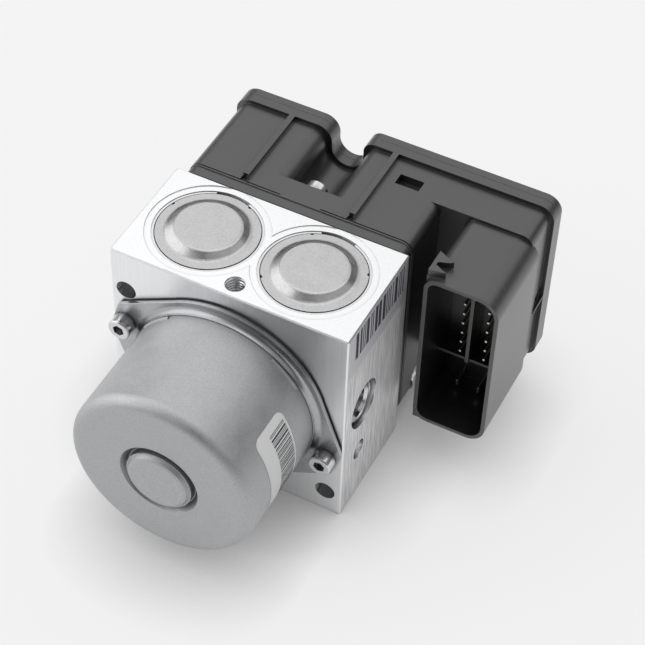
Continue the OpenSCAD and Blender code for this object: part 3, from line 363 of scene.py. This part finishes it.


# In the finishes, the reach, curve and tone of the crevice darkening paint shade into corners and grooves,
# and the edge tone paints a highlight along edges
finishes = {
    "satinSteel": {"dark": (0.45, 0.455, 0.465), "light": (0.57, 0.575, 0.585), "metallic": 1.0,
                   "roughness": (0.5, 0.6), "grainScale": 2000.0, "patchScale": 140.0, "patchShare": 0.35,
                   "contrast": 3.4, "bump": 0.6, "edgeHighlightTone": (0.62, 0.62, 0.64), "creviceShadeReach": 0.005,
                   "creviceShadeCurve": 0.8, "creviceShadeTone": (0.17, 0.17, 0.175)},
    "stampedSteel": {"dark": (0.4, 0.405, 0.415), "light": (0.53, 0.535, 0.545), "metallic": 1.0,
                     "roughness": (0.24, 0.34), "grainScale": 1800.0, "patchScale": 160.0, "patchShare": 0.4,
                     "contrast": 1.6, "bump": 0.25, "edgeHighlightTone": (0.7, 0.7, 0.72), "creviceShadeReach": 0.003,
                     "creviceShadeTone": (0.1, 0.1, 0.105)},
    "ringSteel": {"dark": (0.66, 0.66, 0.67), "light": (0.82, 0.82, 0.83), "metallic": 1.0,
                  "roughness": (0.2, 0.32), "patchScale": 400.0, "bump": 0.08, "creviceShadeReach": 0.0012,
                  "creviceShadeTone": (0.35, 0.35, 0.36)},
    "cutThread": {"dark": (0.78, 0.785, 0.795), "light": (0.92, 0.925, 0.935), "metallic": 1.0,
                  "roughness": (0.16, 0.24), "stretch": (300.0, 300.0, 4000.0), "bump": 0.1,
                  "creviceShadeReach": 0.0014, "creviceShadeTone": (0.02, 0.02, 0.022)},
    "brightZinc": {"dark": (0.6, 0.6, 0.62), "light": (0.8, 0.8, 0.82), "metallic": 1.0,
                   "roughness": (0.16, 0.3), "patchScale": 400.0, "bump": 0.08, "creviceShadeReach": 0.0025,
                   "creviceShadeCurve": 1.4, "creviceShadeTone": (0.03, 0.03, 0.032)},
    "groundSteel": {"dark": (0.55, 0.56, 0.58), "light": (0.7, 0.71, 0.73), "metallic": 1.0,
                    "roughness": (0.18, 0.32), "stretch": (40.0, 4000.0, 40.0), "bump": 0.1},
    "polishedSteel": {"dark": (0.75, 0.75, 0.77), "light": (0.85, 0.85, 0.87), "metallic": 1.0,
                      "roughness": (0.05, 0.12), "bump": 0.03},
    "springWire": {"dark": (0.34, 0.35, 0.37), "light": (0.5, 0.51, 0.53), "metallic": 1.0,
                   "roughness": (0.25, 0.4), "bump": 0.1},
    "coreSheets": {"dark": (0.2, 0.21, 0.22), "light": (0.36, 0.37, 0.39), "metallic": 0.9,
                   "roughness": (0.35, 0.5), "stretch": (20.0, 5000.0, 20.0), "bump": 0.4},
    "enamelledCopper": {"dark": (0.42, 0.15, 0.05), "light": (0.66, 0.28, 0.11), "metallic": 0.8,
                        "roughness": (0.25, 0.4), "stretch": (900.0, 300.0, 3000.0), "bump": 0.7,
                        "bumpDepth": 0.0003},
    "turnedCopper": {"dark": (0.6, 0.3, 0.16), "light": (0.75, 0.42, 0.26), "metallic": 1.0,
                     "roughness": (0.2, 0.35), "stretch": (30.0, 5000.0, 30.0), "bump": 0.15},
    "tinnedBrass": {"dark": (0.62, 0.58, 0.48), "light": (0.82, 0.79, 0.7), "metallic": 1.0,
                    "roughness": (0.15, 0.28), "bump": 0.05},
    "darkFerrite": {"dark": (0.06, 0.06, 0.065), "light": (0.12, 0.12, 0.125), "roughness": (0.35, 0.5),
                    "grainScale": 1800.0, "bump": 0.2},
    "blackPlastic": {"dark": (0.013, 0.013, 0.0145), "light": (0.028, 0.028, 0.031),
                     "roughness": (0.36, 0.44), "grainScale": 2600.0, "patchScale": 25.0, "bump": 0.3,
                     "specular": 1.0, "coat": 0.6, "coatRoughness": 0.35, "creviceShadeReach": 0.016,
                     "creviceShadeCurve": 1.6, "creviceShadeTone": (0.004, 0.004, 0.0044),
                     "edgeRadius": 0.0004, "edgeHighlightTone": (0.1, 0.1, 0.105)},
    "gasketSheet": {"dark": (0.1, 0.12, 0.12), "light": (0.18, 0.2, 0.2), "roughness": (0.5, 0.7),
                    "bump": 0.3},
    "sealRubber": {"dark": (0.012, 0.012, 0.012), "light": (0.03, 0.03, 0.03), "roughness": (0.5, 0.7),
                   "bump": 0.2},
    "pressedCarbon": {"dark": (0.02, 0.02, 0.02), "light": (0.06, 0.06, 0.06), "roughness": (0.5, 0.7),
                      "bump": 0.3},
    "boardGreen": {"dark": (0.008, 0.07, 0.03), "light": (0.02, 0.13, 0.06), "roughness": (0.25, 0.4),
                   "patchScale": 300.0, "bump": 0.15},
    "machinedAluminium": {"dark": (0.83, 0.835, 0.845), "light": (0.94, 0.945, 0.955), "metallic": 1.0,
                          "roughness": (0.28, 0.34), "patchScale": 90.0, "stretch": (2200.0, 2200.0, 14.0),
                          "streakContrast": 1.8, "grainShare": 0.2, "bump": 0.3, "ringDepth": 0.8,
                          "sideRough": 0.5, "sideStretch": 0.85, "sideDark": (0.54, 0.54, 0.555),
                          "sideLight": (0.94, 0.94, 0.945),
                          "creviceShadeReach": 0.0015, "creviceShadeTone": (0.42, 0.42, 0.43),
                          "edgeHighlightTone": (0.95, 0.95, 0.95), "edgeRadius": 0.0002},
    "pressedCap": {"dark": (0.44, 0.44, 0.445), "light": (0.6, 0.6, 0.605), "metallic": 1.0,
                   "roughness": (0.24, 0.36), "grainScale": 1300.0, "patchScale": 170.0, "patchShare": 0.5,
                   "contrast": 2.4, "bump": 0.15, "creviceShadeReach": 0.0025, "creviceShadeTone": (0.32, 0.32, 0.325)},
    "labelFilm": {"dark": (0.92, 0.92, 0.93), "light": (0.97, 0.97, 0.98), "roughness": (0.3, 0.4),
                  "grainScale": 1500.0, "bump": 0.05},
    "labelInk": {"dark": (0.03, 0.03, 0.032), "light": (0.06, 0.06, 0.063), "roughness": (0.4, 0.5),
                 "grainScale": 3500.0, "bump": 0.05},
    "etchedField": {"dark": (0.78, 0.775, 0.82), "light": (0.95, 0.945, 0.975), "metallic": 0.6,
                    "roughness": (0.5, 0.6), "stretch": (2200.0, 2200.0, 14.0), "bump": 0.15},
    "etchedMark": {"dark": (0.03, 0.028, 0.04), "light": (0.09, 0.085, 0.11), "metallic": 0.2,
                   "roughness": (0.5, 0.6), "stretch": (2200.0, 2200.0, 14.0), "bump": 0.15},
}
materials = {name: makeFinish(name, look) for name, look in finishes.items()}
print("finishes made:", len(materials))

plainFinish = "groundSteel"    # of the shaft, rings, pump pistons, valves and plungers, which aren't listed
finishOfNode = {
    "hydraulic_block": "machinedAluminium", "channel_plugs": "polishedSteel", "motor_gasket": "gasketSheet",
    "motor_flange": "stampedSteel", "motor_can": "satinSteel", "motor_screws": "brightZinc",
    "motor_magnets": "darkFerrite", "armature_core": "coreSheets", "armature_winding": "enamelledCopper",
    "commutator": "turnedCopper", "bearing_balls": "polishedSteel", "brush_holder": "blackPlastic",
    "brushes": "pressedCarbon", "brush_springs": "springWire", "motor_terminals": "tinnedBrass",
    "pump_springs": "springWire", "pump_plugs": "brightZinc", "accumulator_caps": "pressedCap",
    "snap_rings": "ringSteel", "accumulator_spring_right": "springWire",
    "accumulator_spring_left": "springWire", "accumulator_piston_right": "machinedAluminium",
    "accumulator_piston_left": "machinedAluminium", "accumulator_seal_right": "sealRubber",
    "accumulator_seal_left": "sealRubber", "coil_yokes": "brightZinc", "coil_windings": "enamelledCopper",
    "ecu_seal": "sealRubber",
    "ecu_housing": "blackPlastic", "ecu_lid": "blackPlastic", "ecu_screws": "brightZinc",
    "circuit_board": "boardGreen", "connector_pins": "tinnedBrass",
}
for name, node in nodes.items():
    node.data.materials.clear()
    node.data.materials.append(materials[finishOfNode.get(name, plainFinish)])
print("finishes given to the nodes")


# A closed piece of the fixed unit from points and faces, with its normals turned outwards
def addPiece(name, points, faces, finish, smooth=False):
    mesh = bpy.data.meshes.new(name)
    mesh.from_pydata([tuple(p) for p in points], [], faces)
    mesh.materials.append(materials[finish])
    if smooth:
        mesh.polygons.foreach_set("use_smooth", [True] * len(mesh.polygons))
    tidy = bmesh.new()
    tidy.from_mesh(mesh)
    bmesh.ops.recalc_face_normals(tidy, faces=tidy.faces)
    tidy.to_mesh(mesh)
    tidy.free()
    piece = bpy.data.objects.new(name, mesh)
    bpy.context.collection.objects.link(piece)
    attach(piece, "unit")


# Faces of a closed bar whose cross-section of n points is repeated at each of count stations
def barFaces(start, n, count):
    faces = []
    for i in range(count - 1):
        for j in range(n):
            k = (j + 1) % n
            a = start + i * n
            faces.append((a + j, a + k, a + n + k, a + n + j))
    faces.append(tuple(start + j for j in range(n)))
    last = start + (count - 1) * n
    faces.append(tuple(last + n - 1 - j for j in range(n)))
    return faces


# Ridge of the coarse thread in the top mounting hole
def addTopThread():
    thread = {"at": (0.0, frontY + 5.8 * mm), "holeRadius": 3.6 * mm, "crest": 3.16 * mm, "pitch": 1.25 * mm,
              "firstTurn": 0.7 * mm, "length": 11.8 * mm, "rootHalf": 0.52 * mm, "crestHalf": 0.08 * mm,
              "sunk": 0.02 * mm, "steps": 40, "runOut": 20}
    turns = thread["length"] / thread["pitch"]
    count = int(turns * thread["steps"])
    root = thread["holeRadius"] + thread["sunk"]
    points = []
    for i in range(count + 1):
        angle = 2 * math.pi * i / thread["steps"]
        fade = min(1.0, i / thread["runOut"], (count - i) / thread["runOut"])
        crest = thread["holeRadius"] - (thread["holeRadius"] - thread["crest"]) * fade
        z = blockTop - thread["firstTurn"] - thread["pitch"] * i / thread["steps"]
        for radius, lift in ((root, thread["rootHalf"]), (crest, thread["crestHalf"]),
                             (crest, -thread["crestHalf"]), (root, -thread["rootHalf"])):
            points.append((thread["at"][0] + radius * math.cos(angle),
                           thread["at"][1] + radius * math.sin(angle), z + lift))
    addPiece("topThread", points, barFaces(0, 4, count + 1), "cutThread")


# Strip that lies on the motor can between two angles, with rounded corners; stations about one step apart
def canStrip(points, faces, low, high, near, far, lift, thick, corner):
    step = 0.8 * mm
    arc = canRadius * (high - low)
    stations = 2 + int(arc / step)
    if corner > 0:
        ends = [corner * (1 - math.cos(math.radians(10 * i))) for i in range(10)]
        middle = [corner + (arc - 2 * corner) * i / stations for i in range(1, stations)]
        along = ends + middle + [arc - e for e in reversed(ends)]
    else:
        along = [arc * i / (stations - 1) for i in range(stations)]
    start = len(points)
    for d in along:
        edge = min(d, arc - d)
        inset = corner - math.sqrt(max(0.0, corner ** 2 - max(0.0, corner - edge) ** 2))
        angle = low + d / canRadius
        for radius, s in ((canRadius + lift, near + inset), (canRadius + lift + thick, near + inset),
                          (canRadius + lift + thick, far - inset), (canRadius + lift, far - inset)):
            points.append((radius * math.cos(angle), frontY - s, motorAxisZ + radius * math.sin(angle)))
    faces.extend(barFaces(start, 4, len(along)))


# White label on the side of the motor can with plain printed bars
def addMotorLabel():
    label = {"low": math.radians(-35), "high": math.radians(36), "near": 16.6 * mm, "far": 34.5 * mm,
             "corner": 3.2 * mm, "film": 0.1 * mm, "ink": 0.02 * mm, "barNear": 17.6 * mm,
             "barFar": 27.2 * mm, "barHigh": math.radians(30), "barLow": math.radians(-30),
             "barAngles": (0.45, 0.45, 0.9, 1.3), "gapAngles": (0.6, 0.6, 1.1), "seed": 4}
    points, faces = [], []
    canStrip(points, faces, label["low"], label["high"], label["near"], label["far"], 0.0, label["film"],
             label["corner"])
    addPiece("motorLabel", points, faces, "labelFilm")
    dice = random.Random(label["seed"])
    points, faces = [], []
    angle = label["barHigh"]
    while angle > label["barLow"]:
        wide = math.radians(dice.choice(label["barAngles"]))
        canStrip(points, faces, angle - wide, angle, label["barNear"], label["barFar"], label["film"],
                 label["ink"], 0)
        angle -= wide + math.radians(dice.choice(label["gapAngles"]))
    addPiece("motorLabelBars", points, faces, "labelInk")


def addBox(points, faces, low, high):
    start = len(points)
    for x in (low[0], high[0]):
        points += [(x, low[1], low[2]), (x, high[1], low[2]), (x, high[1], high[2]), (x, low[1], high[2])]
    faces.extend(barFaces(start, 4, 2))


# Etched field with plain bars at the top of the block's right side
def addSideField():
    field = {"near": frontY + 0.7 * mm, "far": frontY + 44.7 * mm, "low": blockTop - 20.4 * mm,
             "high": blockTop - 0.8 * mm, "layer": 0.02 * mm, "barNear": frontY + 5.9 * mm,
             "barFar": frontY + 42.9 * mm, "barLow": blockTop - 14.2 * mm, "barHigh": blockTop - 1.6 * mm,
             "barLayer": 0.015 * mm, "barWidths": (0.7, 0.7, 1.3, 2.0), "gapWidths": (0.7, 0.7, 1.2),
             "seed": 9}
    fieldX = sideX + field["layer"]
    points, faces = [], []
    addBox(points, faces, (sideX, field["near"], field["low"]), (fieldX, field["far"], field["high"]))
    addPiece("sideField", points, faces, "etchedField")
    dice = random.Random(field["seed"])
    points, faces = [], []
    y = field["barNear"]
    while y < field["barFar"]:
        wide = dice.choice(field["barWidths"]) * mm
        addBox(points, faces, (fieldX, y, field["barLow"]),
               (fieldX + field["barLayer"], y + wide, field["barHigh"]))
        y += wide + dice.choice(field["gapWidths"]) * mm
    addPiece("sideFieldBars", points, faces, "etchedMark")


# Fine weld beads in the corner under the outer rim, on the socket's side
def addRimBeads():
    beads = {"inset": 1.5 * mm, "rimDepth": 3.84 * mm, "fromTop": 5.8 * mm, "length": 66.0 * mm,
             "pitch": 1.36 * mm, "radius": 0.27 * mm, "flatness": 0.8}
    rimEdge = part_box("ecu_housing")[1]
    x, y, high = rimEdge.x - beads["inset"], rimEdge.y - beads["rimDepth"], rimEdge.z - beads["fromTop"]
    r, flat = beads["radius"], beads["flatness"]
    points, faces = [], []
    z = high - beads["length"]
    while z < high:
        start = len(points)
        for dx, dy, dz in ((1, 0, 0), (0, 0, 1), (-1, 0, 0), (0, 0, -1), (0, -flat, 0), (0, flat, 0)):
            points.append((x + dx * r, y + dy * r, z + dz * r))
        for j in range(4):
            k = (j + 1) % 4
            faces.append((start + j, start + k, start + 4))
            faces.append((start + k, start + j, start + 5))
        z += beads["pitch"]
    addPiece("rimBeads", points, faces, "blackPlastic", smooth=True)


# Accumulator springs: copies of the coils, each with a mesh of its own, in place of the imported ones
def addAccumulatorSprings():
    for side in ("right", "left"):
        node = "accumulator_spring_" + side
        spring = bpy.data.objects.new("shortening_spring_" + side, nodes[node].data.copy())
        bpy.context.collection.objects.link(spring)
        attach(spring, "unit")
        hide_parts(node)
        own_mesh(spring)


addTopThread()
addMotorLabel()
addSideField()
addRimBeads()
addAccumulatorSprings()
print("thread, label, etched field, rim beads and springs added")


# Floor that shows its own pale tone to the camera and to reflections, darkened near the object as a painted
# shadow, and keeps the cast shadow
def addFloor(studio):
    bpy.ops.mesh.primitive_plane_add(size=studio["floorSize"], location=(0, 0, -studio["floorDrop"]))
    floor = bpy.context.object
    floor.name = "studioFloor"
    paint = bpy.data.materials.new("paleFloor")
    paint.use_nodes = True
    tree = paint.node_tree
    tree.nodes.remove(tree.nodes["Principled BSDF"])
    bounce = addNode(tree, "BsdfDiffuse")
    bounce.inputs["Color"].default_value = (studio["bounceTone"],) * 3 + (1.0,)
    seen = addNode(tree, "BsdfDiffuse")
    seen.inputs["Color"].default_value = (studio["shadowTone"],) * 3 + (1.0,)
    # painted shadow: the tone the camera sees darkens towards the contact tone where the object closes in
    openness = addNode(tree, "AmbientOcclusion", samples=12)
    openness.inputs["Distance"].default_value = studio["shadowReach"]
    fade = mathNode(tree, "POWER", openness.outputs["AO"], studio["shadowCurve"])
    dark, light = ((studio[key],) * 3 for key in ("paintedShadowTone", "glowTone"))
    plain = addNode(tree, "Emission")
    connect(tree, blendColour(tree, fade, dark, light), plain.inputs["Color"])
    pale = addNode(tree, "MixShader")
    pale.inputs["Fac"].default_value = studio["plainShare"]
    connect(tree, seen.outputs[0], pale.inputs[1])
    connect(tree, plain.outputs[0], pale.inputs[2])
    path = addNode(tree, "LightPath")
    direct = mathNode(tree, "MAXIMUM", path.outputs["Is Camera Ray"], path.outputs["Is Glossy Ray"])
    both = addNode(tree, "MixShader")
    connect(tree, direct, both.inputs["Fac"])
    connect(tree, bounce.outputs[0], both.inputs[1])
    connect(tree, pale.outputs[0], both.inputs[2])
    connect(tree, both.outputs[0], tree.nodes["Material Output"].inputs["Surface"])
    floor.data.materials.append(paint)


# Dim even sky for the light and the reflections; the camera sees it in the floor's tone
def addSky(studio):
    world = bpy.data.worlds.new("softStudio")
    bpy.context.scene.world = world
    world.use_nodes = True
    tree = world.node_tree
    sky = tree.nodes["Background"]
    sky.inputs["Color"].default_value = (1.0, 1.0, 1.0, 1.0)
    sky.inputs["Strength"].default_value = studio["skyTone"]
    plain = addNode(tree, "Background")
    plain.inputs["Strength"].default_value = studio["paleTone"]
    path = addNode(tree, "LightPath")
    both = addNode(tree, "MixShader")
    connect(tree, path.outputs["Is Camera Ray"], both.inputs["Fac"])
    connect(tree, sky.outputs[0], both.inputs[1])
    connect(tree, plain.outputs[0], both.inputs[2])
    connect(tree, both.outputs[0], tree.nodes["World Output"].inputs["Surface"])


def addStudio():
    studio = {"floorSize": 30.0, "floorDrop": 0.2 * mm, "paleTone": 0.91, "bounceTone": 0.75,
              "shadowTone": 0.8, "plainShare": 0.7, "glowTone": 0.995, "paintedShadowTone": 0.06,
              "shadowReach": 32 * mm, "shadowCurve": 1.1, "skyTone": 0.12}
    lamps = {  # the way the light goes, its spread in degrees, its strength
        "rearPanel": ((0.0, -0.5, -0.87), 80.0, 1.05),
        "leftPanel": ((0.7, 0.1, -0.7), 100.0, 0.6),
        "lowPanel": ((1.0, 0.3, -0.4), 80.0, 1.5),
        "rightPanel": ((-0.6, 0.0, -0.8), 80.0, 0.5),
    }
    addFloor(studio)
    addSky(studio)
    for name, (way, angle, strength) in lamps.items():
        lamp = bpy.data.lights.new(name, "SUN")
        lamp.energy = strength
        lamp.angle = math.radians(angle)
        panel = bpy.data.objects.new(name, lamp)
        bpy.context.collection.objects.link(panel)
        panel.rotation_euler = Vector(way).to_track_quat("-Z", "Y").to_euler()
    bpy.context.scene.view_settings.view_transform = "Standard"


addCamera()
addStudio()
print("camera and studio ready")
